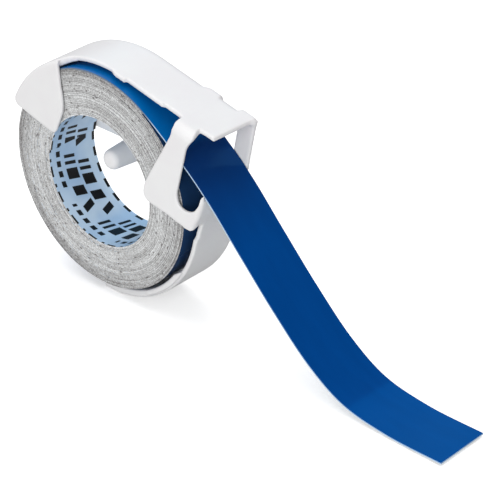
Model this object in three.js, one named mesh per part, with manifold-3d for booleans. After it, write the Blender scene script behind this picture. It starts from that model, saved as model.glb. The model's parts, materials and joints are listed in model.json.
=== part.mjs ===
// Embossing tape cassette: a moulded white holder, a coreless roll of 12 mm embossing tape
// (coloured vinyl on a printed release liner) and the free end of the tape, fed out through the guide.
//
// Millimetres, +Z up. The roll's axis runs along Y and the tape leaves towards +X.
// Every shape below is drawn in the "roll frame": x and z from the roll's axis, y from the tape's front edge.
// The assembly group then moves it all so that the origin is at the bottom centre of the bounding box.
import * as THREE from "three";
import { mergeVertices } from "three/addons/utils/BufferGeometryUtils.js";
import Module from "manifold-3d";

const wasm = await Module();
wasm.setup();

// ---------------------------------------------------------------- driving dimensions
const TAPE_WIDTH = 12; // the half-inch tape size
const VINYL = 0.225; // thickness of the coloured film with its adhesive
const LINER = 0.08; // thickness of the release liner
const ROLL_OUTER_R = 22.5;
const ROLL_INNER_R = 13.2;
const TURN_GAP = 0.02; // air between one strip and the next

const ROLL_PLAY = 0.9; // radial room between the roll and the band
const SIDE_PLAY = 0.25; // room between the tape's edge and a plate
const BAND_WALL = 1.0;
const PLATE = 0.8;
const BAND_FRONT_Y = 1.6; // the band's front edge stands back from the tape's edge
const TONGUE_FRONT_Y = 2.0; // and a little more along the tongue
const FOOT_DEPTH = 0.2; // how much the round band is flattened where it stands

// Directions of the tape's two ends on the roll, in degrees from +X towards +Z.
const TAPE_LEAVES = 57; // it leaves the roll along the tangent here
const INNER_END = 172;
const TURNS = 26 + (INNER_END - TAPE_LEAVES) / 360; // about 2.95 m of tape on the roll
const PITCH = (ROLL_OUTER_R - ROLL_INNER_R) / (TURNS + 1); // the last turn lies outside the others
const BAND_INNER_R = ROLL_OUTER_R + ROLL_PLAY;
const BAND_OUTER_R = BAND_INNER_R + BAND_WALL;
const FLOOR_Z = -(BAND_OUTER_R - FOOT_DEPTH);
const PLATE_FRONT_Y = -(SIDE_PLAY + PLATE); // outer face of the front tabs
const TAB_INNER_Y = -SIDE_PLAY;
const BACK_INNER_Y = TAPE_WIDTH + SIDE_PLAY;
const BACK_OUTER_Y = BACK_INNER_Y + PLATE;

// Directions round the roll's axis, in degrees from +X towards +Z.
const BAND_START = 154; // the band's free end, over the front left tab
const TAB_END = 111.5; // where the band narrows again, right of that tab
const TOP_TANGENT = 77; // the band runs straight from here to the guide
const LOWER_START = -4; // the lower band leaves its rising lip here
const LOWER_END = -92; // and ends under the roll
const ARC_STEP = 4;
const TURN_STEPS = 60;

const GUIDE_END_X = 28.4; // end of the tongue over the tape
const ROOF_STEP_X = 17.2; // where the roof's front edge steps back
const GUIDE_ROOF = { x0: 21.3, x1: 24.4 }; // the stretch of roof that reaches out to the front tab
const LIP_STEP_Y = 8.5; // behind this the lip is lower
const PAD = { from: -23, to: -43, innerR: 22.85, y0: 0.5, y1: 3.5 };
const POST = { x: 0, z: 3.2, tipY: 1.7, tipR: 1.95, baseR: 2.7, lobeR: 3.3 };
const WEB_BOTTOM_Z = 2.2; // straight lower edge of the back plate

const HOLDER_WHITE = 0xf3f1f2;
const VINYL_BLUE = 0x0a3f86;
const LINER_GREY = 0xb9c4d2;
const WOUND_EDGE_GREY = 0xa9abaa;

// ---------------------------------------------------------------- helpers
const radians = THREE.MathUtils.degToRad;

function polar(radius, degrees) {
  return new THREE.Vector2(radius * Math.cos(radians(degrees)), radius * Math.sin(radians(degrees)));
}

// Points on a circle round the roll's axis, from one direction to another.
function arc(radius, from, to) {
  const steps = Math.max(1, Math.round(Math.abs(to - from) / ARC_STEP));
  return Array.from({ length: steps + 1 }, (_, i) => polar(radius, from + ((to - from) * i) / steps));
}

const at = (x, z) => new THREE.Vector2(x, z);

// A closed outline in x and z, extruded along Y.
function slab(outline, y0, y1) {
  const shape = outline instanceof THREE.Shape ? outline : new THREE.Shape(outline);
  const geometry = new THREE.ExtrudeGeometry(shape, { depth: y1 - y0, bevelEnabled: false, curveSegments: 6 });
  return geometry.rotateX(Math.PI / 2).translate(0, y1, 0);
}

function toSolid(geometry) {
  const bare = geometry.clone();
  bare.deleteAttribute("normal");
  bare.deleteAttribute("uv");
  const merged = mergeVertices(bare, 1e-4);
  return new wasm.Manifold(
    new wasm.Mesh({
      numProp: 3,
      vertProperties: new Float32Array(merged.attributes.position.array),
      triVerts: new Uint32Array(merged.index.array),
    }),
  );
}

function toGeometry(solid) {
  const { vertProperties, triVerts } = solid.getMesh();
  const geometry = new THREE.BufferGeometry();
  geometry.setAttribute("position", new THREE.BufferAttribute(vertProperties, 3));
  geometry.setIndex(new THREE.BufferAttribute(triVerts, 1));
  geometry.computeVertexNormals();
  return geometry;
}

function join(geometries) {
  return geometries.map(toSolid).reduce((whole, piece) => whole.add(piece));
}

// The line of the straight top run: a point on its upper face, at x, lowered by depth.
const topSlope = -1 / Math.tan(radians(TOP_TANGENT));
function topRun(x, depth = 0) {
  const start = polar(BAND_OUTER_R - depth, TOP_TANGENT);
  return at(x, start.y + topSlope * (x - start.x));
}

// ---------------------------------------------------------------- holder
// Outline of a stretch of the upper band, between two directions on the round part.
function upperArc(from, to) {
  return [...arc(BAND_OUTER_R, from, to), ...arc(BAND_INNER_R, to, from)];
}

// The upper band: round from its free end, then straight out over the tape, as far as x.
function upperBand(endX) {
  return [
    ...arc(BAND_OUTER_R, BAND_START, TOP_TANGENT),
    topRun(endX),
    topRun(endX, BAND_WALL),
    ...arc(BAND_INNER_R, TOP_TANGENT, BAND_START),
  ];
}

function guideRoof() {
  const { x0, x1 } = GUIDE_ROOF;
  return [topRun(x0), topRun(x1), topRun(x1, BAND_WALL), topRun(x0, BAND_WALL)];
}

// The lower band has a lip that rises under the tape. These are the lip's two faces, from the top down.
const LIP_OUTER = [at(28.1, 6.4), at(27.3, 3.4), at(25.4, 0.2)];
const LIP_INNER = [at(27.1, 7.2), at(26.3, 4.0), at(24.3, 0.6)];

function lowerBand() {
  return [
    ...LIP_OUTER,
    ...arc(BAND_OUTER_R, LOWER_START, LOWER_END),
    ...arc(BAND_INNER_R, LOWER_END, LOWER_START),
    ...LIP_INNER.toReversed(),
  ];
}

// The part of the lip that is as wide as the front tab.
function lipFront() {
  return [...LIP_OUTER, at(24.6, -0.6), at(23.5, -0.4), ...LIP_INNER.toReversed()];
}

// A pad inside the lower band thickens towards the roll and ends in a step.
function pad() {
  const { from, to, innerR } = PAD;
  const steps = 5;
  const taper = Array.from({ length: steps + 1 }, (_, i) =>
    polar(innerR + ((BAND_INNER_R + 0.1 - innerR) * i) / steps, to + ((from - to) * i) / steps),
  );
  return [...arc(BAND_INNER_R + 0.5, from, to), ...taper];
}

function frontLeftTab() {
  const shape = new THREE.Shape();
  const outer = arc(BAND_OUTER_R, TAB_END, BAND_START);
  shape.moveTo(outer[0].x, outer[0].y);
  outer.slice(1).forEach((p) => shape.lineTo(p.x, p.y));
  shape.lineTo(-20.3, 9.2);
  shape.lineTo(-10.9, 6.9);
  shape.quadraticCurveTo(-9.7, 6.6, -9.3, 7.8);
  shape.lineTo(-8.2, 12.2);
  shape.quadraticCurveTo(-7.7, 14.2, -7.9, 15.6);
  return shape;
}

// The slanted strip beside the tape, with its foot running across to the lip.
function frontRightTab() {
  const shape = new THREE.Shape();
  const top = BAND_WALL / 2;
  shape.moveTo(GUIDE_ROOF.x0, topRun(GUIDE_ROOF.x0, top).y);
  shape.lineTo(13.5, 4.6);
  shape.quadraticCurveTo(12.2, 2.0, 14.4, 1.4);
  shape.lineTo(19.6, 0.3);
  shape.quadraticCurveTo(22.2, -0.6, 24.6, -0.6);
  LIP_OUTER.toReversed().slice(0, 2).forEach((p) => shape.lineTo(p.x, p.y));
  shape.lineTo(LIP_INNER[1].x, LIP_INNER[1].y);
  shape.quadraticCurveTo(21.0, 1.4, 21.7, 5.9);
  shape.lineTo(24.3, 16.9);
  shape.quadraticCurveTo(24.4, 17.6, GUIDE_ROOF.x1, topRun(GUIDE_ROOF.x1, top).y);
  return shape;
}

// The back plate closes the upper half of the roll and guides the tape's far edge.
function backPlate() {
  const leftR = ROLL_OUTER_R - 0.5;
  const leftEnd = THREE.MathUtils.radToDeg(Math.PI - Math.asin(WEB_BOTTOM_Z / leftR));
  const shape = new THREE.Shape([
    ...arc(BAND_OUTER_R, TOP_TANGENT, BAND_START),
    ...arc(leftR, BAND_START + 4, leftEnd),
    at(24.3, WEB_BOTTOM_Z),
    at(24.3, -0.2),
    ...LIP_OUTER.slice(1).toReversed(),
    at(26.7, 8.6),
    topRun(GUIDE_END_X),
  ]);
  const window = new THREE.Path();
  window.moveTo(19.4, 8.0);
  window.quadraticCurveTo(18.6, 5.4, 21.2, 5.4);
  window.quadraticCurveTo(22.4, 5.4, 22.8, 7.0);
  window.lineTo(24.8, 15.6);
  window.quadraticCurveTo(25.2, 17.6, 23.2, 17.6);
  window.quadraticCurveTo(21.8, 17.6, 21.4, 16.2);
  shape.holes.push(window);
  return shape;
}

function postGeometry() {
  const tipCentreY = POST.tipY + POST.tipR;
  const profile = [at(0, BACK_INNER_Y + PLATE / 2), at(POST.baseR, BACK_INNER_Y + PLATE / 2)];
  profile.push(at(POST.baseR, BACK_INNER_Y - 0.1));
  const TIP_STEPS = 5;
  for (let i = 0; i < TIP_STEPS; i++) {
    const turn = (i / TIP_STEPS) * (Math.PI / 2);
    profile.push(at(POST.tipR * Math.cos(turn), tipCentreY - POST.tipR * Math.sin(turn)));
  }
  profile.push(at(0, POST.tipY));
  return new THREE.LatheGeometry(profile.reverse(), 28).translate(POST.x, 0, POST.z);
}

function lobe() {
  const shape = new THREE.Shape();
  shape.absarc(POST.x, POST.z, POST.lobeR, 0, 2 * Math.PI);
  return new THREE.ExtrudeGeometry(shape, { depth: PLATE, bevelEnabled: false, curveSegments: 16 })
    .rotateX(Math.PI / 2)
    .translate(0, BACK_OUTER_Y, 0);
}

function holderGeometry() {
  const FRONT_TOOTH = { from: 78.5, to: 71.5, y: 1.0 }; // small locating tooth on the front edge
  const EDGE_NOTCH = { x0: 20.4, x1: 25.3, depth: 1.2 }; // in the back edge, before the tongue's end
  const body = join([
    slab(upperBand(ROOF_STEP_X), BAND_FRONT_Y, BACK_OUTER_Y),
    slab(upperBand(GUIDE_END_X), TONGUE_FRONT_Y, BACK_OUTER_Y),
    slab(upperArc(BAND_START, TAB_END), PLATE_FRONT_Y, BACK_OUTER_Y),
    slab(guideRoof(), PLATE_FRONT_Y, BACK_OUTER_Y),
    slab(
      [
        ...arc(BAND_OUTER_R, FRONT_TOOTH.from, FRONT_TOOTH.to),
        ...arc(BAND_INNER_R, FRONT_TOOTH.to, FRONT_TOOTH.from),
      ],
      FRONT_TOOTH.y,
      BAND_FRONT_Y + 0.5,
    ),
    slab(lowerBand(), BAND_FRONT_Y, BACK_OUTER_Y),
    slab(lipFront(), PLATE_FRONT_Y, BAND_FRONT_Y + 0.5),
    slab(pad(), PAD.y0, PAD.y1),
    slab(frontLeftTab(), PLATE_FRONT_Y, TAB_INNER_Y),
    slab(frontRightTab(), PLATE_FRONT_Y, TAB_INNER_Y),
    slab(backPlate(), BACK_INNER_Y, BACK_OUTER_Y),
    lobe(),
    postGeometry(),
  ]);
  const notch = slab(
    [at(EDGE_NOTCH.x0, 18.2), at(EDGE_NOTCH.x1, 18.2), at(EDGE_NOTCH.x1, 24), at(EDGE_NOTCH.x0, 24)],
    BACK_OUTER_Y - EDGE_NOTCH.depth,
    BACK_OUTER_Y + 1,
  );
  const lipStep = slab([at(25.8, 4.8), at(30, 4.8), at(30, 9), at(25.8, 9)], LIP_STEP_Y, BACK_INNER_Y);
  const ground = slab([at(-30, FLOOR_Z), at(-30, -30), at(30, -30), at(30, FLOOR_Z)].reverse(), -5, 20);
  return toGeometry([notch, lipStep, ground].map(toSolid).reduce((rest, cut) => rest.subtract(cut), body));
}

// ---------------------------------------------------------------- wound tape
// Radius of the winding's underside after so many turns from the inner end.
const windingRadius = (turns) => ROLL_INNER_R + PITCH * turns;

// One stretch of strip lying in the winding, between two turn counts, at a height above the winding's underside.
function woundStrip(fromTurn, toTurn, height, thickness) {
  const steps = Math.round((toTurn - fromTurn) * TURN_STEPS);
  const side = (above) =>
    Array.from({ length: steps + 1 }, (_, i) => {
      const turn = fromTurn + ((toTurn - fromTurn) * i) / steps;
      return polar(windingRadius(turn) + above, INNER_END - 360 * turn);
    });
  return slab([...side(height + thickness), ...side(height).reverse()], 0, TAPE_WIDTH);
}

const linerHeight = TURN_GAP / 2;
const vinylHeight = linerHeight + LINER + TURN_GAP / 2;

// The turns between the first and the last, as one ring.
function middleTurnsGeometry() {
  const innerR = windingRadius(1) + PITCH + 2 * TURN_GAP;
  const outerR = windingRadius(TURNS - 1) - PITCH / 4;
  const ring = new THREE.Shape();
  ring.absarc(0, 0, outerR, 0, 2 * Math.PI);
  const hole = new THREE.Path();
  hole.absarc(0, 0, innerR, 0, 2 * Math.PI, true);
  ring.holes.push(hole);
  return new THREE.ExtrudeGeometry(ring, { depth: TAPE_WIDTH, bevelEnabled: false, curveSegments: TURN_STEPS })
    .rotateX(Math.PI / 2)
    .translate(0, TAPE_WIDTH, 0);
}

// ---------------------------------------------------------------- free end of the tape
// The line between liner and vinyl, from where it clears the roll to the end on the table.
const LEADER_START_X = 16;
const leavesAt = polar(ROLL_OUTER_R - VINYL, TAPE_LEAVES);
const leaderRoute = new THREE.SplineCurve([
  leavesAt,
  at(22.4, 11.85),
  at(28.4, 6.6),
  at(36.0, -1.85),
  at(44.2, -10.2),
  at(53.0, -17.8),
  at(61.0, -22.15),
  at(71.0, FLOOR_Z + 0.5),
  at(83.0, FLOOR_Z + LINER + 0.03),
]);

function leaderStrip(above, thickness) {
  const STEPS = 64;
  const line = leaderRoute.getSpacedPoints(STEPS).filter((p) => p.x >= LEADER_START_X);
  const normals = line.map((p, i) => {
    const before = line[Math.max(0, i - 1)];
    const after = line[Math.min(line.length - 1, i + 1)];
    const along = after.clone().sub(before).normalize();
    return at(-along.y, along.x);
  });
  const side = (height) => line.map((p, i) => p.clone().addScaledVector(normals[i], height));
  return slab([...side(above + thickness), ...side(above).reverse()].reverse(), 0, TAPE_WIDTH);
}

// ---------------------------------------------------------------- materials and assembly
const material = (color, roughness) => new THREE.MeshStandardMaterial({ color, roughness, metalness: 0 });
const whitePlastic = material(HOLDER_WHITE, 0.45);
const blueVinyl = material(VINYL_BLUE, 0.25);
const linerPaper = material(LINER_GREY, 0.5);
const woundEdge = material(WOUND_EDGE_GREY, 0.8);

const assembly = new THREE.Group();
function place(name, geometry, look) {
  const mesh = new THREE.Mesh(geometry, look);
  mesh.name = name;
  assembly.add(mesh);
  return mesh;
}

place("holder", holderGeometry(), whitePlastic);
place("liner_inner_turn", woundStrip(0, 1, linerHeight, LINER), linerPaper);
place("vinyl_inner_turn", woundStrip(0, 1, vinylHeight, VINYL), blueVinyl);
place("middle_turns", middleTurnsGeometry(), woundEdge);
place("liner_outer_turn", woundStrip(TURNS - 1, TURNS, linerHeight, LINER), linerPaper);
place("vinyl_outer_turn", woundStrip(TURNS - 1, TURNS, vinylHeight, VINYL), blueVinyl);
place("liner_leader", leaderStrip(-LINER, LINER), linerPaper);
place("vinyl_leader", leaderStrip(TURN_GAP / 2, VINYL), blueVinyl);

// The origin goes to the bottom centre of the bounding box.
const box = new THREE.Box3().setFromObject(assembly);
const centre = box.getCenter(new THREE.Vector3());
assembly.position.set(-centre.x, -centre.y, -box.min.z);

export default assembly;
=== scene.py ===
"""Looks of an embossing tape cassette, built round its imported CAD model.

Shapes are drawn in the roll's millimetres: x and z from the roll's axis, y from the tape's front edge.
The holder is a distance field, so that its edges and inner corners are rounded like those of a moulding.
"""

import json
import math

import bpy
import numpy as np
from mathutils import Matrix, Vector


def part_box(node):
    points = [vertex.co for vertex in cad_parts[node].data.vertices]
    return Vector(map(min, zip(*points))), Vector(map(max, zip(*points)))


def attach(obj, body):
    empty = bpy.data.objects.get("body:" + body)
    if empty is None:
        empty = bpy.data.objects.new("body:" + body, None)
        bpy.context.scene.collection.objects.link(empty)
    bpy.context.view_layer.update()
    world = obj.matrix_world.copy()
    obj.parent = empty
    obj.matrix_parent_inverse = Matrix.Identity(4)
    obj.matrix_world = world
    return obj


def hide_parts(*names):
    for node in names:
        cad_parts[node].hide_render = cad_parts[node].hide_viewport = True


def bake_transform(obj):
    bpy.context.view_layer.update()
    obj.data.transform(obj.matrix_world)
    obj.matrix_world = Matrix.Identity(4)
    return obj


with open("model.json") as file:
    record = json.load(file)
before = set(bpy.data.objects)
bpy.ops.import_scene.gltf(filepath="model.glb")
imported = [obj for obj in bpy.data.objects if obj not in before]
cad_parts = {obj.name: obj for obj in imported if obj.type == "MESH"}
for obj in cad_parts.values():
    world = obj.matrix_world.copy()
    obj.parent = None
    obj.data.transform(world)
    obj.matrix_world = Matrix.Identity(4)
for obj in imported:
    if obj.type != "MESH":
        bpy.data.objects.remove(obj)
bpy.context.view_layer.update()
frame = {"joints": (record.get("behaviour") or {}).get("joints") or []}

# ---------------------------------------------------------------- places and sizes from the frame
MM = 0.001
SPIN = next(joint for joint in frame["joints"] if joint["name"] == "roll_spin")
TAPE_LOW, TAPE_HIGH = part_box("vinyl_leader")
HOLDER_LOW, HOLDER_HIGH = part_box("holder")
ROLL_CENTRE = np.array([SPIN["pos_m"][0], TAPE_LOW.y, SPIN["pos_m"][2]])  # on the axis, at the tape's edge

TAPE_WIDTH = (TAPE_HIGH.y - TAPE_LOW.y) / MM
FRONT_Y = (HOLDER_LOW.y - ROLL_CENTRE[1]) / MM  # outer face of the front tabs
BACK_Y = (HOLDER_HIGH.y - ROLL_CENTRE[1]) / MM  # outer face of the back plate
FLOOR_Z = -ROLL_CENTRE[2] / MM

ROLL_R = 22.5
BORE_R = 13.2
BAND_INNER_R = 23.4
BAND_OUTER_R = 24.4
WALL = BAND_OUTER_R - BAND_INNER_R
PLATE = 0.8
VINYL = 0.225
LINER = 0.08

# Directions round the roll's axis, in degrees from +X towards +Z.
BAND_START = 154
TOP_TANGENT = 77
LOWER_START = -12
LOWER_END = -92
TAPE_LEAVES = 57
INNER_END = 172
TURNS = 26 + (INNER_END - TAPE_LEAVES) / 360
SLACK = 0.17  # how much smaller the wound tape is than the roll, for the stretch that lies on top of it
PITCH = (ROLL_R - SLACK - BORE_R) / (TURNS + 1)
OVERLAY = 0.345  # how far that stretch lies above the last turn, which moves under it
UNWIND = SPIN["range_deg"][1]

GUIDE_END_X = 28.1
POST_Z = 3.2
POST_TIP = 2.6

# Where the free end runs, in x and z, from the guide to the table.
ROUTE = [
    (22.4, 11.4),
    (28.4, 6.1),
    (36.0, -1.9),
    (44.2, -10.2),
    (53.0, -17.8),
    (61.0, -22.15),
    (71.0, FLOOR_Z + 0.5),
    (83.9, FLOOR_Z + 0.5),
]
END_DRIFT = 1.0  # how far it drifts sideways


def to_row(points):
    """Roll millimetres to metres in the row frame."""
    return np.asarray(points, float) * MM + ROLL_CENTRE


# ---------------------------------------------------------------- shader patterns
class Pattern:
    """A number that varies over a surface, written as arithmetic and built as shader nodes."""

    def __init__(self, tree, socket):
        self.tree = tree
        self.socket = socket

    def node(self, kind, operation, values):
        node = self.tree.nodes.new(kind)
        node.operation = operation
        for entry, value in zip(node.inputs, values):
            if isinstance(value, Pattern):
                self.tree.links.new(value.socket, entry)
            else:
                entry.default_value = value
        return Pattern(self.tree, node.outputs[0])

    def math(self, operation, *others):
        return self.node("ShaderNodeMath", operation, [self, *others])

    def __add__(self, other):
        return self.math("ADD", other)

    def __sub__(self, other):
        return self.math("SUBTRACT", other)

    def __mul__(self, other):
        return self.math("MULTIPLY", other)

    def above(self, limit):
        return self.math("GREATER_THAN", limit)

    def below(self, limit):
        return self.math("LESS_THAN", limit)

    def within(self, low, high):
        return self.above(low) * self.below(high)

    def either(self, other):
        return self.math("MAXIMUM", other)

    def wrap(self, period):
        return self.math("WRAP", period, 0.0)

    def spread(self, low, high, to_low, to_high):
        """Smoothly carries low..high over to to_low..to_high."""
        node = self.tree.nodes.new("ShaderNodeMapRange")
        node.interpolation_type = "SMOOTHSTEP"
        self.tree.links.new(self.socket, node.inputs["Value"])
        for name, value in zip(("From Min", "From Max", "To Min", "To Max"), (low, high, to_low, to_high)):
            node.inputs[name].default_value = value
        return Pattern(self.tree, node.outputs["Result"])


def attribute(tree, name):
    node = tree.nodes.new("ShaderNodeAttribute")
    node.attribute_name = name
    return Pattern(tree, node.outputs["Fac"])


def position(tree):
    """The surface point in the piece's own frame, in metres."""
    return tree.nodes.new("ShaderNodeTexCoord").outputs["Object"]


def vector(tree, x, y=0.0, z=0.0):
    node = tree.nodes.new("ShaderNodeCombineXYZ")
    for entry, value in zip(node.inputs, (x, y, z)):
        if isinstance(value, Pattern):
            tree.links.new(value.socket, entry)
        else:
            entry.default_value = value
    return node.outputs[0]


def noise(tree, place, per_unit, detail=2.0, roughness=0.5):
    node = tree.nodes.new("ShaderNodeTexNoise")
    tree.links.new(place, node.inputs["Vector"])
    node.inputs["Scale"].default_value = per_unit
    node.inputs["Detail"].default_value = detail
    node.inputs["Roughness"].default_value = roughness
    return Pattern(tree, node.outputs["Fac"])


def blend_colours(tree, share, first, second):
    node = tree.nodes.new("ShaderNodeMix")
    node.data_type = "RGBA"
    tree.links.new(share.socket, node.inputs["Factor"])
    for entry, colour in zip((node.inputs[6], node.inputs[7]), (first, second)):
        if isinstance(colour, bpy.types.NodeSocket):
            tree.links.new(colour, entry)
        else:
            entry.default_value = (*colour, 1)
    return node.outputs[2]


def new_material(name, roughness, **sockets):
    """A material's tree and its Principled shader, with uniform values set on the shader's sockets."""
    material = bpy.data.materials.new(name)
    material.use_nodes = True
    tree = material.node_tree
    shader = next(node for node in tree.nodes if node.type == "BSDF_PRINCIPLED")
    shader.inputs["Roughness"].default_value = roughness
    for socket, value in sockets.items():
        shader.inputs[socket.replace("_", " ").title().replace("Ior", "IOR")].default_value = value
    return material, tree, shader


def add_bump(tree, shader, height, strength, distance=0.1 * MM):
    node = tree.nodes.new("ShaderNodeBump")
    node.inputs["Strength"].default_value = strength
    node.inputs["Distance"].default_value = distance
    tree.links.new(height.socket, node.inputs["Height"])
    tree.links.new(node.outputs["Normal"], shader.inputs["Normal"])


# ---------------------------------------------------------------- materials
ALONG = "tape_along"  # mm along the tape from its inner end
ACROSS = "tape_across"  # mm across it from the front edge


def holder_plastic():
    """White polypropylene: satin, slightly translucent, a little uneven in tone."""
    material, tree, shader = new_material("holder_plastic", 0.42, specular_ior_level=0.22)
    shader.inputs["Subsurface Weight"].default_value = 0.12
    shader.inputs["Subsurface Radius"].default_value = (1.0, 0.9, 0.95)
    shader.inputs["Subsurface Scale"].default_value = 1.0 * MM
    place = position(tree)
    clouds = noise(tree, place, 120, 2)
    colour = blend_colours(tree, clouds.spread(0.35, 0.65, 0, 1), (0.785, 0.775, 0.785), (0.80, 0.80, 0.803))
    tree.links.new(colour, shader.inputs["Base Color"])
    grain = noise(tree, place, 1800, 3)
    flow = noise(tree, place, 300, 2)
    tree.links.new((grain * 0.2 + 0.32).socket, shader.inputs["Roughness"])
    add_bump(tree, shader, grain * 0.5 + flow, 0.12)
    return material


def blue_vinyl():
    """Glossy calendered film: deep blue, with faint waves along the strip."""
    material, tree, shader = new_material("blue_vinyl", 0.3, specular_ior_level=0.5)
    shader.inputs["Specular Tint"].default_value = (0.02, 0.5, 1.0, 1)
    along = attribute(tree, ALONG)
    across = attribute(tree, ACROSS)
    place = vector(tree, along * 0.25, across)
    waves = noise(tree, place, 0.35, 2)
    film = blend_colours(tree, waves.spread(0.3, 0.7, 0, 1), (0.0, 0.050, 0.238), (0.0, 0.054, 0.255))
    leaves = along_winding(TURNS)  # all further places are in mm from here
    # Painted shade: the free end is blended to a darker navy, as if in the tongue's shadow, from 9 mm past
    # where it leaves the roll, fading out by 34 mm.
    painted_tongue_shade = along.spread(leaves + 9, leaves + 34, 1, 0)
    film = blend_colours(tree, painted_tongue_shade, film, (0.003, 0.026, 0.135))
    # Painted light: the film still on the roll is blended to a brighter blue, as if lit from the front and
    # above.
    wound = along.spread(leaves + 7, leaves + 11, 1, 0)
    film = blend_colours(tree, wound, film, (0.0, 0.115, 0.38))
    # Painted shade: the film on the roll is blended to a dark slate blue, except for its last 50 to 90 mm
    # before the tape leaves.
    painted_shade_turns = along.spread(leaves - 90, leaves - 50, 1, 0)
    film = blend_colours(tree, painted_shade_turns, film, (0.012, 0.042, 0.12))
    tree.links.new(film, shader.inputs["Base Color"])
    tree.links.new((noise(tree, place, 3, 3) * 0.08 + 0.1).socket, shader.inputs["Roughness"])
    add_bump(tree, shader, waves + noise(tree, place, 4, 2) * 0.1, 0.15)
    return material


def adhesive_and_gap_shade():
    """The dark underside of the film, a little patchy. On the roll it is also laid on the tops of covered
    turns, as painted shade in the gaps between them.
    """
    material, tree, shader = new_material("adhesive_and_gap_shade", 0.5)
    place = vector(tree, attribute(tree, ALONG), attribute(tree, ACROSS))
    patches = noise(tree, place, 1.5, 3)
    colour = blend_colours(tree, patches, (0.02, 0.02, 0.03), (0.05, 0.05, 0.07))
    tree.links.new(colour, shader.inputs["Base Color"])
    add_bump(tree, shader, patches, 0.2)
    return material


def release_liner():
    """The side of the liner that the film's glue lies on."""
    material, tree, shader = new_material("release_liner", 0.35)
    place = vector(tree, attribute(tree, ALONG), attribute(tree, ACROSS))
    fibres = noise(tree, place, 2.5, 4)
    colour = blend_colours(tree, fibres, (0.50, 0.60, 0.74), (0.58, 0.66, 0.78))
    tree.links.new(colour, shader.inputs["Base Color"])
    add_bump(tree, shader, fibres, 0.1)
    return material


def print_marks(along, across):
    """A made-up pattern of slanted bars, blocks, wedges and dots. It isn't lettering."""
    lean = along + across * 0.22
    marks = None
    for low, shift in ((3.7, 0.0), (7.0, 1.6)):
        row = across.within(low, low + 2.7)
        place = (lean + shift).wrap(15.4)
        wedge = (place - across * 0.55).within(9.0 - 0.55 * low - 1.0, 9.0 - 0.55 * low + 0.5)
        bars = place.within(0, 2.2).either(place.within(3.0, 3.7)).either(place.within(4.4, 5.1))
        bars = bars.either(place.within(11.9, 13.9)).either(wedge)
        marks = bars * row if marks is None else marks.either(bars * row)
    small = lean.wrap(2.1)
    dots = small.within(0, 1.25) * across.within(1.7, 2.7) * lean.wrap(12.6).below(9.0)
    near_edge = (along.wrap(5.2).below(2.2).either(along.wrap(5.2).within(3.1, 3.8))) * across.below(0.45)
    far_edge = along.wrap(3.4).below(1.9) * across.above(TAPE_WIDTH - 0.7)
    return marks.either(dots).either(near_edge).either(far_edge)


def printed_liner():
    """Coated release paper, pale blue and shiny, printed in black."""
    material, tree, shader = new_material("printed_liner", 0.28, specular_ior_level=0.5)
    along = attribute(tree, ALONG)
    across = attribute(tree, ACROSS)
    place = vector(tree, along, across)
    tone = noise(tree, place, 0.12, 2)
    paper = blend_colours(tree, tone.spread(0.35, 0.65, 0, 1), (0.40, 0.58, 0.80), (0.56, 0.72, 0.88))
    ink = print_marks(along, across) * noise(tree, place, 9, 2).spread(0.2, 0.35, 0.8, 1)
    tree.links.new(blend_colours(tree, ink, paper, (0.003, 0.003, 0.004)), shader.inputs["Base Color"])
    tree.links.new((ink * 0.35 + 0.26).socket, shader.inputs["Roughness"])
    add_bump(tree, shader, noise(tree, place, 1.2, 2), 0.08)
    return material


def cut_edges(name, light, dark):
    """Cut edges of the wound strips: matt and speckled, each turn with its own tone and dark dashes."""
    material, tree, shader = new_material(name, 0.75, specular_ior_level=0.25)
    along = attribute(tree, ALONG)
    fine = noise(tree, position(tree), 3400, 2, 0.7)
    turn_tone = noise(tree, vector(tree, along), 0.04, 2)
    dash = noise(tree, vector(tree, along), 0.6, 1)
    shade = fine.spread(0.3, 0.7, 0.0, 0.5) + turn_tone.spread(0.38, 0.64, 0.0, 0.32)
    shade = shade + along.spread(1500, 2950, 0.0, 0.32)  # darker outer turns
    shade = shade.either(dash.spread(0.6, 0.68, 0.0, 0.95))
    tree.links.new(blend_colours(tree, shade, light, dark), shader.inputs["Base Color"])
    add_bump(tree, shader, fine, 0.5)
    return material


def cut_tape(name, light, dark, wound):
    """The cut edges of the free end: cleaner than those on the roll, where this strip still lies wound."""
    material, tree, shader = new_material(name, 0.5, specular_ior_level=0.3)
    along = attribute(tree, ALONG)
    grain = noise(tree, vector(tree, along), 1.1, 3)
    free = along.spread(along_winding(TURNS), along_winding(TURNS) + 5, 0, 1)
    colour = blend_colours(tree, grain, light, dark)
    tree.links.new(blend_colours(tree, free, wound, colour), shader.inputs["Base Color"])
    add_bump(tree, shader, grain, 0.1)
    return material


# ---------------------------------------------------------------- outlines in x and z
def polar(radius, degrees):
    angle = math.radians(degrees)
    return (radius * math.cos(angle), radius * math.sin(angle))


def arc(radius, start, end, step=3):
    count = max(1, round(abs(end - start) / step))
    return [polar(radius, start + (end - start) * i / count) for i in range(count + 1)]


def bend(start, handle, end, count=8):
    """A quadratic curve from start to end, without its first point."""
    points = []
    for i in range(1, count + 1):
        t = i / count
        points.append(
            tuple((1 - t) ** 2 * a + 2 * t * (1 - t) * b + t * t * c for a, b, c in zip(start, handle, end))
        )
    return points


TOP_SLOPE = -1 / math.tan(math.radians(TOP_TANGENT))


def top_run(x, depth=0.0):
    """A point on the straight top, at x, lowered by depth into the wall."""
    start_x, start_z = polar(BAND_OUTER_R - depth, TOP_TANGENT)
    return (x, start_z + TOP_SLOPE * (x - start_x))


def upper_band_outline():
    end_x = GUIDE_END_X + 3
    return (
        arc(BAND_OUTER_R, BAND_START, TOP_TANGENT)
        + [top_run(end_x), top_run(end_x, WALL)]
        + arc(BAND_INNER_R, TOP_TANGENT, BAND_START)
    )


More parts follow.
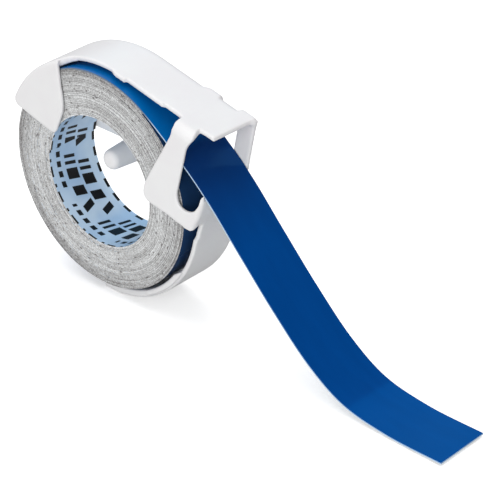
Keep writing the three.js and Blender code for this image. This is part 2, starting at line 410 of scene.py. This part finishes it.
TAB_SIDE = [(27.8, 6.1), (27.4, 4.6), (26.5, 2.2), (25.4, 0.1)]
LIP_OUTER = TAB_SIDE[:3]
LIP_OUTER += bend(LIP_OUTER[-1], (24.77, -0.82), polar(BAND_OUTER_R, LOWER_START))
LIP_INNER = [(26.8, 6.9), (26.5, 5.4), (25.6, 3.0)]
LIP_INNER += bend(LIP_INNER[-1], (23.8, -0.7), polar(BAND_INNER_R, LOWER_START))
PAD_R = 22.8


def lower_band_outline():
    """The wall grows thicker under the roll."""
    thickening = 0.45
    inner = [
        polar(BAND_INNER_R - thickening * step(-direction, 48, 66), direction)
        for direction in np.linspace(LOWER_END, LOWER_START, 28)
    ]
    return (
        LIP_OUTER
        + arc(BAND_OUTER_R, LOWER_START, LOWER_END)
        + inner
        + LIP_INNER[::-1]
    )


def lip_front_outline():
    inner = [(24.6, -0.5), (23.4, -0.4), (24.4, 1.2), (26.0, 3.4), (26.8, 5.4), (27.3, 7.0)]
    return [(27.9, 7.8), *TAB_SIDE, *inner]


def pad_outline():
    """A pad inside the lower band. Its inner side follows the roll."""
    return arc(BAND_INNER_R + 0.5, -31, -62) + arc(PAD_R, -62, -36) + [polar(BAND_INNER_R, -32)]


def left_tab_outline():
    corner = bend((-21.2, 12.0), (-22.4, 9.4), (-19.7, 9.0))
    tip = bend((-12.0, 6.9), (-10.7, 6.5), (-10.2, 7.6))
    side = bend((-8.5, 11.6), (-7.9, 13.6), (-8.6, 17.0))
    outer_r = BAND_OUTER_R - 0.2
    return (
        arc(outer_r, 112, 149)
        + [(-21.2, 12.0), *corner, (-12.0, 6.9), *tip, (-8.5, 11.6), *side, polar(outer_r - 0.6, 112.5)]
    )


def left_tab_root_outline():
    """Where the band is thicker, beside the tab."""
    return arc(BAND_INNER_R + 0.3, 106, 126) + [polar(22.75, 126), polar(22.9, 116), polar(23.4, 106)]


def right_tab_outline():
    left = [(21.4, 19.45), (19.6, 16.6), (17.6, 13.0), (15.6, 9.6), (13.3, 5.4)]
    heel = bend((13.3, 5.4), (11.8, 2.1), (14.1, 1.35))
    foot = [(19.2, 0.45)] + bend((19.2, 0.45), (22.1, -0.7), (24.8, -0.35))
    window_foot = bend((26.6, 4.3), (25.3, 3.1), (23.4, 3.0)) + bend((23.4, 3.0), (21.1, 3.1), (21.3, 6.0))
    return [
        top_run(21.0, 0.3),
        *left,
        *heel,
        *foot,
        *TAB_SIDE[:0:-1],
        (26.6, 4.3),
        *window_foot,
        (23.9, 16.6),
        top_run(24.2, 0.3),
    ]


def back_plate_outline():
    inner_r = ROLL_R - 0.5
    web_z = 2.2
    left_end = 180 - math.degrees(math.asin(web_z / inner_r))
    return (
        arc(BAND_OUTER_R - 0.5, TOP_TANGENT, BAND_START)
        + arc(inner_r, BAND_START + 4, left_end)
        + [(24.3, web_z), (24.2, 0.6), (25.2, 2.6), (26.5, 7.8), top_run(28.6, 0.5)]
    )


def back_window_outline():
    foot = bend((19.4, 8.0), (18.6, 5.4), (21.2, 5.4)) + bend((21.2, 5.4), (22.2, 5.4), (22.5, 7.0))
    head = bend((24.3, 15.6), (24.7, 17.6), (22.9, 17.6)) + bend((22.9, 17.6), (21.8, 17.6), (21.4, 16.2))
    return [(19.4, 8.0), *foot, (24.3, 15.6), *head]


def envelope_outline():
    """The holder seen from the front, filled in."""
    return (
        arc(BAND_OUTER_R, TOP_TANGENT, 360 + LOWER_START)
        + [*LIP_OUTER[::-1], (27.9, 8.2), (29.0, 14.0), top_run(31.5)]
    )


# ---------------------------------------------------------------- distance fields
EDGE = 0.3  # rounding of the moulding's edges


def outline_distance(outline, x, z):
    """Signed distance from each (x, z) to a closed outline, negative inside it."""
    nearest = np.full(np.broadcast(x, z).shape, 1e9)
    inside = np.zeros(nearest.shape, bool)
    ends = outline[1:] + outline[:1]
    for (ax, az), (bx, bz) in zip(outline, ends):
        ex, ez = bx - ax, bz - az
        length2 = ex * ex + ez * ez
        if length2 < 1e-9:
            continue
        px, pz = x - ax, z - az
        share = np.clip((px * ex + pz * ez) / length2, 0, 1)
        nearest = np.minimum(nearest, (px - share * ex) ** 2 + (pz - share * ez) ** 2)
        if az != bz:
            inside ^= ((az > z) != (bz > z)) & (px < ex * pz / ez)
    return np.where(inside, -1, 1) * np.sqrt(nearest)


def meet(a, b, radius):
    """The overlap of two solids, with a rounded edge."""
    a, b = a + radius, b + radius
    return np.minimum(np.maximum(a, b), 0) + np.hypot(np.maximum(a, 0), np.maximum(b, 0)) - radius


def join(a, b, fillet):
    """Two solids together, with a fillet in the corner between them."""
    near = np.maximum(fillet - np.abs(a - b), 0) / fillet
    return np.minimum(a, b) - near * near * fillet / 4


def cut(a, b, fillet):
    """The first solid without the second."""
    return -join(-a, b, fillet)


def step(value, start, end):
    """A smooth rise from 0 at start to 1 at end."""
    share = np.clip((value - start) / (end - start), 0, 1)
    return share * share * (3 - 2 * share)


def band_front(x):
    """Where the upper band's front edge lies, along the band."""
    y = FRONT_Y + 0.35 + (1.6 - FRONT_Y - 0.35) * step(x, -11.2, -7.2)
    y = y - 0.6 * step(x, 2.6, 4.4) + 0.6 * step(x, 6.5, 6.9)
    return y + 0.45 * step(x, 15.6, 16.0)


def lower_front(x, z):
    """The lower band's front edge is a little further back near the lip."""
    direction = np.degrees(np.arctan2(z, x))
    return 1.4 + 0.5 * step(direction, -11, -8.5)


def slab(outline, x, y, z, low, high, edge=EDGE):
    """An outline given thickness, from low to high across the tape."""
    return meet(outline_distance(outline, x, z), np.maximum(low - y, y - high), edge)


def upper_band(x, y, z):
    band = meet(outline_distance(upper_band_outline(), x, z), band_front(x) - y, EDGE)
    guide_end = meet(x - GUIDE_END_X + 0.15 - 0.03 * (y - 2), y - BACK_Y, 1.4)
    return meet(band, guide_end, EDGE)


def bridge(x, y, z):
    """The tongue over the tape, in front of the straight top."""
    outline = [top_run(16), top_run(24.5), top_run(24.5, WALL), top_run(16, WALL)]
    return meet(slab(outline, x, y, z, FRONT_Y, 4, 0.45), 21.8 - 1.3 * step(y, -0.6, 2.3) - x, 0.2)


def left_tab_root(x, y, z):
    outline = outline_distance(left_tab_root_outline(), x, z)
    return meet(outline, np.maximum(band_front(x) - y, y - 2.0), EDGE)


def lower_band(x, y, z):
    """The lower band, with the step near the lip taken out of it."""
    band = meet(outline_distance(lower_band_outline(), x, z), lower_front(x, z) - y, EDGE)
    lip_step = meet(np.maximum(25.6 - x, np.maximum(5.4 - z, z - 9)), 8.5 - y, EDGE)
    return cut(band, lip_step, 0.8)


def right_tab(x, y, z):
    """The tab with its window, and the lip that leaves room for the tape."""
    lip = slab(lip_front_outline(), x, y, z, FRONT_Y, 3.0)
    tape_room = np.minimum(z + 0.88 * (x - ROUTE[0][0]) - ROUTE[0][1] + 0.5, y + 0.25)
    lip = np.maximum(lip, tape_room)
    tab = slab(right_tab_outline(), x, y, z, FRONT_Y, FRONT_Y + PLATE)
    return join(tab, lip, 1.2)


def back_plate(x, y, z):
    """The closed plate behind the roll, with the post's root and the window."""
    low, high = BACK_Y - PLATE, BACK_Y + 1
    plate = slab(back_plate_outline(), x, y, z, low, high)
    root = meet(np.hypot(x, z - POST_Z) - 3.3, np.maximum(low - y, y - high), EDGE)
    plate = join(plate, root, 0.6)
    return cut(plate, outline_distance(back_window_outline(), x, z), 0.3)


def post(x, y, z):
    """The post in the middle of the roll. It grows wider towards the plate."""
    radius = 1.95 + 0.75 * np.clip((y - POST_TIP) / 10, 0, 1)
    return meet(np.hypot(x, z - POST_Z) - radius, np.maximum(POST_TIP - y, y - (BACK_Y - 0.2)), 1.2)


def round_off(body, x, y, z):
    """Rounds the edges round the back and the front, and flattens the foot."""
    envelope = outline_distance(envelope_outline(), x, z)
    back_round = 2.3 - 1.3 * step(x, 15.6, 17.6) + 1.3 * step(x, 20.0, 20.4) - 1.8 * step(x, 24.6, 25.2)
    body = meet(body, meet(envelope, y - BACK_Y, np.where(z > 0, back_round, 1.5)), 0.1)
    front_round = 0.9 + 1.2 * step(x, 16.5, 19) * step(z, 11, 15)
    body = meet(body, meet(envelope, FRONT_Y - y, front_round), 0.1)
    return meet(body, FLOOR_Z - z, 0.15)


def holder_field(x, y, z):
    """The whole moulding. Each last number is the fillet where two shapes join."""
    body = join(upper_band(x, y, z), bridge(x, y, z), 0.3)
    body = join(body, slab(left_tab_outline(), x, y, z, FRONT_Y, FRONT_Y + PLATE), 0.5)
    body = join(body, left_tab_root(x, y, z), 0.5)
    body = join(body, lower_band(x, y, z), 0.3)
    body = join(body, right_tab(x, y, z), 0.5 + 3.2 * step(z, 12, 15))
    body = join(body, slab(pad_outline(), x, y, z, 0.7, 3.8, 0.25), 0.4)
    body = join(body, back_plate(x, y, z), 1.4)
    body = join(body, post(x, y, z), 0.9)
    return round_off(body, x, y, z)


# ---------------------------------------------------------------- a mesh from a distance field
def sample(grid, places):
    """The grid's value at fractional places, by trilinear interpolation."""
    places = np.clip(places, 0, np.array(grid.shape) - 1.001)
    low = places.astype(int)
    share = places - low
    total = np.zeros(len(places))
    for corner in np.ndindex(2, 2, 2):
        weight = np.prod(np.where(corner, share, 1 - share), axis=1)
        i, j, k = (low + corner).T
        total += weight * grid[i, j, k]
    return total


def net_vertices(grid):
    """One vertex in each cell that the surface crosses: the mean of its edge crossings."""
    inside = grid < 0
    size = np.array(grid.shape) - 1
    corners = list(np.ndindex(2, 2, 2))
    count = np.zeros(size, np.int8)
    for i, j, k in corners:
        count += inside[i : i + size[0], j : j + size[1], k : k + size[2]]
    cells = np.argwhere((count > 0) & (count < 8))
    total = np.zeros((len(cells), 3))
    crossings = np.zeros(len(cells))
    for corner in corners:
        for axis in range(3):
            if corner[axis]:
                continue
            other = np.array(corner)
            other[axis] = 1
            first = grid[tuple((cells + corner).T)]
            second = grid[tuple((cells + other).T)]
            crossed = (first < 0) != (second < 0)
            share = np.where(crossed, first / np.where(crossed, first - second, 1), 0)
            place = cells + corner + share[:, None] * (other - corner)
            total += np.where(crossed[:, None], place, 0)
            crossings += crossed
    return cells, total / crossings[:, None]


def net_faces(grid, cells):
    """A quad round each grid edge that crosses the surface."""
    number = np.full(np.array(grid.shape) - 1, -1)
    number[tuple(cells.T)] = np.arange(len(cells))
    inside = grid < 0
    quads = []
    for axis in range(3):
        side_a, side_b = [(1, 2), (2, 0), (0, 1)][axis]
        starts = np.take(inside, range(grid.shape[axis] - 1), axis)
        ends = np.take(inside, range(1, grid.shape[axis]), axis)
        edges = np.argwhere(starts != ends)
        edges = edges[(edges[:, side_a] > 0) & (edges[:, side_b] > 0)]
        shift_a, shift_b = np.eye(3, dtype=int)[[side_a, side_b]]
        ring = [edges, edges - shift_a, edges - shift_a - shift_b, edges - shift_b]
        quad = np.stack([number[tuple(corner.T)] for corner in ring], axis=1)
        outward = starts[tuple(edges.T)]
        quads.append(np.where(outward[:, None], quad, quad[:, ::-1]))
    return np.concatenate(quads)


def settle(grid, places, rounds=3):
    """Moves the vertices onto the surface, along the field's slope."""
    half_steps = np.eye(3) * 0.5
    for _ in range(rounds):
        value = sample(grid, places)
        rises = [sample(grid, places + half) - sample(grid, places - half) for half in half_steps]
        slope = np.stack(rises, axis=1)
        steepness = np.maximum((slope**2).sum(axis=1), 1e-6)
        move = -slope * (value / steepness)[:, None]
        length = np.linalg.norm(move, axis=1)
        places = places + move * np.minimum(1, 0.4 / np.maximum(length, 1e-9))[:, None]
    return places


def mesh_object(name, points, faces, body, materials):
    """A smooth-shaded piece in the row frame that rides on a CAD body."""
    mesh = bpy.data.meshes.new(name)
    mesh.from_pydata(to_row(points).tolist(), [], [list(map(int, face)) for face in faces])
    mesh.shade_smooth()
    for material in materials:
        mesh.materials.append(material)
    piece = bpy.data.objects.new(name, mesh)
    bpy.context.scene.collection.objects.link(piece)
    if body:
        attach(piece, body)
    return piece


def make_holder():
    spacing = 0.22
    margin = 0.7
    low = np.array([-BAND_OUTER_R, FRONT_Y, FLOOR_Z]) - margin
    high = np.array([GUIDE_END_X + 1.2, BACK_Y, BAND_OUTER_R]) + margin
    x, y, z = (np.arange(a, b, spacing) for a, b in zip(low, high))
    grid = holder_field(x[:, None, None], y[None, :, None], z[None, None, :])
    grid = grid / spacing
    cells, places = net_vertices(grid)
    points = low + settle(grid, places) * spacing
    piece = mesh_object(
        "holder_moulding", points, net_faces(grid, cells), "holder", [holder_plastic()]
    )
    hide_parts("holder")


# ---------------------------------------------------------------- wound tape
TURN_STEPS = 144


def strip_mesh(name, lower, upper, low_y, high_y, along, body, materials):
    """A closed strip of rectangular section. lower and upper are its faces' lines in x and z.

    The materials are those of the upper face, the lower face and the cut edges.
    """
    count = len(lower)
    corner_xz = [lower, upper, upper, lower]
    corner_y = [low_y, low_y, high_y, high_y]
    rings = np.stack([np.column_stack([xz[:, 0], y, xz[:, 1]]) for xz, y in zip(corner_xz, corner_y)], axis=1)
    start = np.arange(count - 1) * 4
    sides = {"lower": (0, 3), "upper": (2, 1), "front": (1, 0), "back": (3, 2)}
    faces = [
        np.stack([start + a, start + b, start + b + 4, start + a + 4], axis=1) for a, b in sides.values()
    ]
    last = 4 * (count - 1)
    faces = np.concatenate([*faces, [[0, 1, 2, 3]], [[last + 3, last + 2, last + 1, last]]])
    kinds = np.repeat([1, 0, 2, 2], count - 1).tolist() + [2, 2]
    piece = mesh_object(name, rings.reshape(-1, 3), faces, body, materials)
    piece.data.polygons.foreach_set("material_index", kinds)
    set_sharp_edges(piece.data, last)
    add_attribute(piece.data, ALONG, np.repeat(along, 4))
    add_attribute(piece.data, ACROSS, rings[:, :, 1].ravel())
    return piece


def set_sharp_edges(mesh, last):
    """The strip's four long edges and its two ends are cut sharp."""
    ends = np.zeros(2 * len(mesh.edges), int)
    mesh.edges.foreach_get("vertices", ends)
    a, b = ends.reshape(-1, 2).T
    same_line = (a % 4) == (b % 4)
    across = (a // 4) == (b // 4)
    at_end = across & ((a < 4) | (a >= last))
    mesh.edges.foreach_set("use_edge_sharp", same_line | at_end)


def add_attribute(mesh, name, values):
    layer = mesh.attributes.new(name, "FLOAT", "POINT")
    layer.data.foreach_set("value", np.asarray(values, np.float32))


def wavy(turns, scale, amount, seed):
    """Smooth noise along the tape, with a new value every so many turns."""
    knots = np.random.default_rng(seed).normal(0, amount, int(TURNS / scale) + 4)
    return np.interp(turns / scale, np.arange(len(knots)), knots)


def winding_radius(turns):
    """Underside of the tape, so many turns from the inner end. The last few turns lie loose on one side."""
    direction = INNER_END - 360 * turns
    from_outside = TURNS - turns
    loose = step(from_outside, 0.15, 3.5) * (1 - step(from_outside, 3.5, 15))
    side = np.clip(np.cos(np.radians(direction - 15)), 0, 1) ** 1.5
    ripple = 0.012 * np.sin(np.radians(3 * direction) + turns)
    return BORE_R + PITCH * turns + (0.2 * loose + 0.12 * step(-from_outside, -2.5, -0.4)) * side + ripple


def winding_line(turns, above):
    angle = np.radians(INNER_END - 360 * turns)
    radius = winding_radius(turns) + above
    return np.column_stack([radius * np.cos(angle), radius * np.sin(angle)])


def along_winding(turns):
    return 2 * math.pi * (BORE_R * turns + PITCH * turns**2 / 2)


def make_winding():
    turns = np.linspace(0, TURNS, int(TURNS * TURN_STEPS))
    sway = wavy(turns, 0.31, 0.02, 3) + wavy(turns, 0.021, 0.01, 4)
    along = along_winding(turns)
    liner = strip_mesh(
        "wound_liner",
        winding_line(turns, 0),
        winding_line(turns, LINER),
        0.02 + sway,
        TAPE_WIDTH - 0.02 + sway,
        along,
        "roll",
        [release_liner(), printed_liner(), cut_edges("liner_edge", (0.93, 0.93, 0.92), (0.36, 0.35, 0.34))],
    )
    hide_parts("liner_inner_turn", "liner_outer_turn")
    sway = sway + wavy(turns, 0.013, 0.01, 5)
    vinyl = strip_mesh(
        "wound_vinyl",
        winding_line(turns, LINER + 0.005),
        winding_line(turns, LINER + VINYL),
        sway,
        TAPE_WIDTH + sway,
        along,
        "roll",
        [blue_vinyl(), adhesive_and_gap_shade(), cut_edges("vinyl_edge", (0.84, 0.86, 0.87), (0.16, 0.15, 0.15))],
    )
    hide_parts("vinyl_inner_turn", "vinyl_outer_turn", "middle_turns")
    # Painted shade: the tops of turns that the next turn covers take the dark underside material, which
    # darkens the gaps between turns.
    painted_shade_turns = np.flatnonzero(turns[1:] < TURNS - 1.02)
    kinds = np.zeros(len(vinyl.data.polygons), int)
    vinyl.data.polygons.foreach_get("material_index", kinds)
    kinds[len(turns) - 1 + painted_shade_turns] = 1
    vinyl.data.polygons.foreach_set("material_index", kinds)


# ---------------------------------------------------------------- free end of the tape
ON_ROLL_STEPS = 40
FREE_STEPS = 420
CURVE_STEPS = 40  # between two points of the route


def smooth_line(points, count):
    """An evenly spaced centripetal curve through the points."""
    points = np.asarray(points, float)
    points = np.vstack([2 * points[0] - points[1], points, 2 * points[-1] - points[-2]])
    gaps = np.linalg.norm(np.diff(points, axis=0), axis=1) ** 0.5
    knots = np.concatenate([[0], np.cumsum(gaps)])
    dense = []
    for i in range(1, len(points) - 2):
        t = np.linspace(knots[i], knots[i + 1], CURVE_STEPS)[:, None]
        k0, k1, k2, k3 = knots[i - 1 : i + 3]
        p0, p1, p2, p3 = points[i - 1 : i + 3]
        a1 = p0 + (p1 - p0) * (t - k0) / (k1 - k0)
        a2 = p1 + (p2 - p1) * (t - k1) / (k2 - k1)
        a3 = p2 + (p3 - p2) * (t - k2) / (k3 - k2)
        b1 = a1 + (a2 - a1) * (t - k0) / (k2 - k0)
        b2 = a2 + (a3 - a2) * (t - k1) / (k3 - k1)
        dense.append(b1 + (b2 - b1) * (t - k1) / (k2 - k1))
    dense = np.concatenate(dense)
    length = np.concatenate([[0], np.cumsum(np.linalg.norm(np.diff(dense, axis=0), axis=1))])
    even = np.linspace(0, length[-1], count)
    return np.column_stack([np.interp(even, length, dense[:, i]) for i in (0, 1)])


def offset_line(line, distance):
    """The line moved square to itself."""
    along = np.gradient(line, axis=0)
    along /= np.linalg.norm(along, axis=1)[:, None]
    return line + distance * np.column_stack([-along[:, 1], along[:, 0]])


def free_end_line():
    """Underside of the vinyl: a stretch that lies on the roll, then the route to the table."""
    turns = np.linspace(TURNS - UNWIND / 360, TURNS, ON_ROLL_STEPS)
    on_roll = winding_line(turns, LINER + OVERLAY)
    free = smooth_line([on_roll[-9], on_roll[-1], *ROUTE], FREE_STEPS)
    start = int(np.argmin(np.linalg.norm(free - on_roll[-1], axis=1))) + 1
    return np.vstack([on_roll, free[start:]])


def make_free_end():
    line = free_end_line()
    along = np.concatenate([[0], np.cumsum(np.linalg.norm(np.diff(line, axis=0), axis=1))])
    along = along + along_winding(TURNS - UNWIND / 360)
    end = to_row([ROUTE[1][0] + 8, 0, ROUTE[1][1] - 9])
    edge_y = -END_DRIFT * step(line[:, 0], ROUTE[2][0], ROUTE[-1][0])
    vinyl = strip_mesh(
        "free_vinyl",
        line,
        offset_line(line, VINYL),
        edge_y,
        edge_y + TAPE_WIDTH,
        along,
        None,
        [
            blue_vinyl(),
            adhesive_and_gap_shade(),
            cut_tape("cut_vinyl", (0.36, 0.54, 0.76), (0.28, 0.46, 0.70), (0.12, 0.17, 0.24)),
        ],
    )
    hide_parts("vinyl_leader")
    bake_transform(vinyl)
    liner = strip_mesh(
        "free_liner",
        offset_line(line, -LINER),
        offset_line(line, -0.005),
        edge_y + 0.02,
        edge_y + TAPE_WIDTH - 0.02,
        along,
        None,
        [
            release_liner(),
            printed_liner(),
            cut_tape("cut_liner", (0.88, 0.92, 0.95), (0.74, 0.80, 0.86), (0.45, 0.47, 0.48)),
        ],
    )
    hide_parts("liner_leader")
    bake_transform(liner)


# ---------------------------------------------------------------- camera, floor and light
def make_camera():
    """A long lens, looking down at the cassette from the front right."""
    azimuth, elevation = math.radians(42.33), math.radians(31.02)
    level = math.cos(elevation)
    towards = Vector((math.sin(azimuth) * level, -math.cos(azimuth) * level, math.sin(elevation)))
    target = Vector(to_row([38.55, 0, 0.52]))
    data = bpy.data.cameras.new("camera")
    data.lens = 161.4
    camera = bpy.data.objects.new("camera", data)
    camera.location = target + towards * 0.4
    camera.rotation_euler = towards.to_track_quat("Z", "Y").to_euler()
    bpy.context.scene.collection.objects.link(camera)
    bpy.context.scene.camera = camera


def make_floor():
    """A pale floor, brighter to the camera than to the cassette."""
    size = 3.0
    mesh = bpy.data.meshes.new("floor")
    corners = [(-size, -size, 0), (size, -size, 0), (size, size, 0), (-size, size, 0)]
    mesh.from_pydata(corners, [], [(0, 1, 2, 3)])
    material, tree, shader = new_material("pale_floor", 0.9, specular_ior_level=0.1, emission_strength=0.4)
    rays = tree.nodes.new("ShaderNodeLightPath")
    seen = Pattern(tree, rays.outputs["Is Camera Ray"])
    tree.links.new((seen * 0.32 + 0.6).socket, shader.inputs["Base Color"])
    tree.links.new(seen.socket, shader.inputs["Emission Color"])
    mesh.materials.append(material)
    floor = bpy.data.objects.new("floor", mesh)
    bpy.context.scene.collection.objects.link(floor)


def make_world():
    """Even white light all round, dimmer where it is mirrored."""
    world = bpy.data.worlds.new("studio")
    world.use_nodes = True
    bpy.context.scene.world = world
    tree = world.node_tree
    background = next(node for node in tree.nodes if node.type == "BACKGROUND")
    rays = tree.nodes.new("ShaderNodeLightPath")
    seen = Pattern(tree, rays.outputs["Is Camera Ray"])
    mirrored = Pattern(tree, rays.outputs["Is Glossy Ray"])
    strength = seen * 0.75 - mirrored * 0.33 + 0.46
    tree.links.new(strength.socket, background.inputs["Strength"])
    background.inputs["Color"].default_value = (1, 1, 1, 1)


def soft_light(name, direction, distance, size, watts):
    """A square panel that faces the cassette."""
    data = bpy.data.lights.new(name, "AREA")
    data.size = size
    data.energy = watts
    light = bpy.data.objects.new(name, data)
    away = Vector(direction).normalized()
    light.location = away * distance
    light.rotation_euler = away.to_track_quat("Z", "Y").to_euler()
    bpy.context.scene.collection.objects.link(light)
    return light


make_camera()
make_floor()
make_world()
soft_light("key", (-0.3, 0.1, 0.95), 0.5, 0.6, 1.75).visible_glossy = False
soft_light("front", (0.4, -0.85, 0.3), 0.7, 0.5, 3.0).visible_glossy = False
back_panel = soft_light("back_panel", (-0.5, 0.63, 0.6), 0.6, 0.4, 0.45)
back_panel.visible_diffuse = False
back_panel.data.color = (0.0, 0.5, 1.0)
bpy.context.scene.view_settings.view_transform = "Standard"

make_holder()
make_winding()
make_free_end()
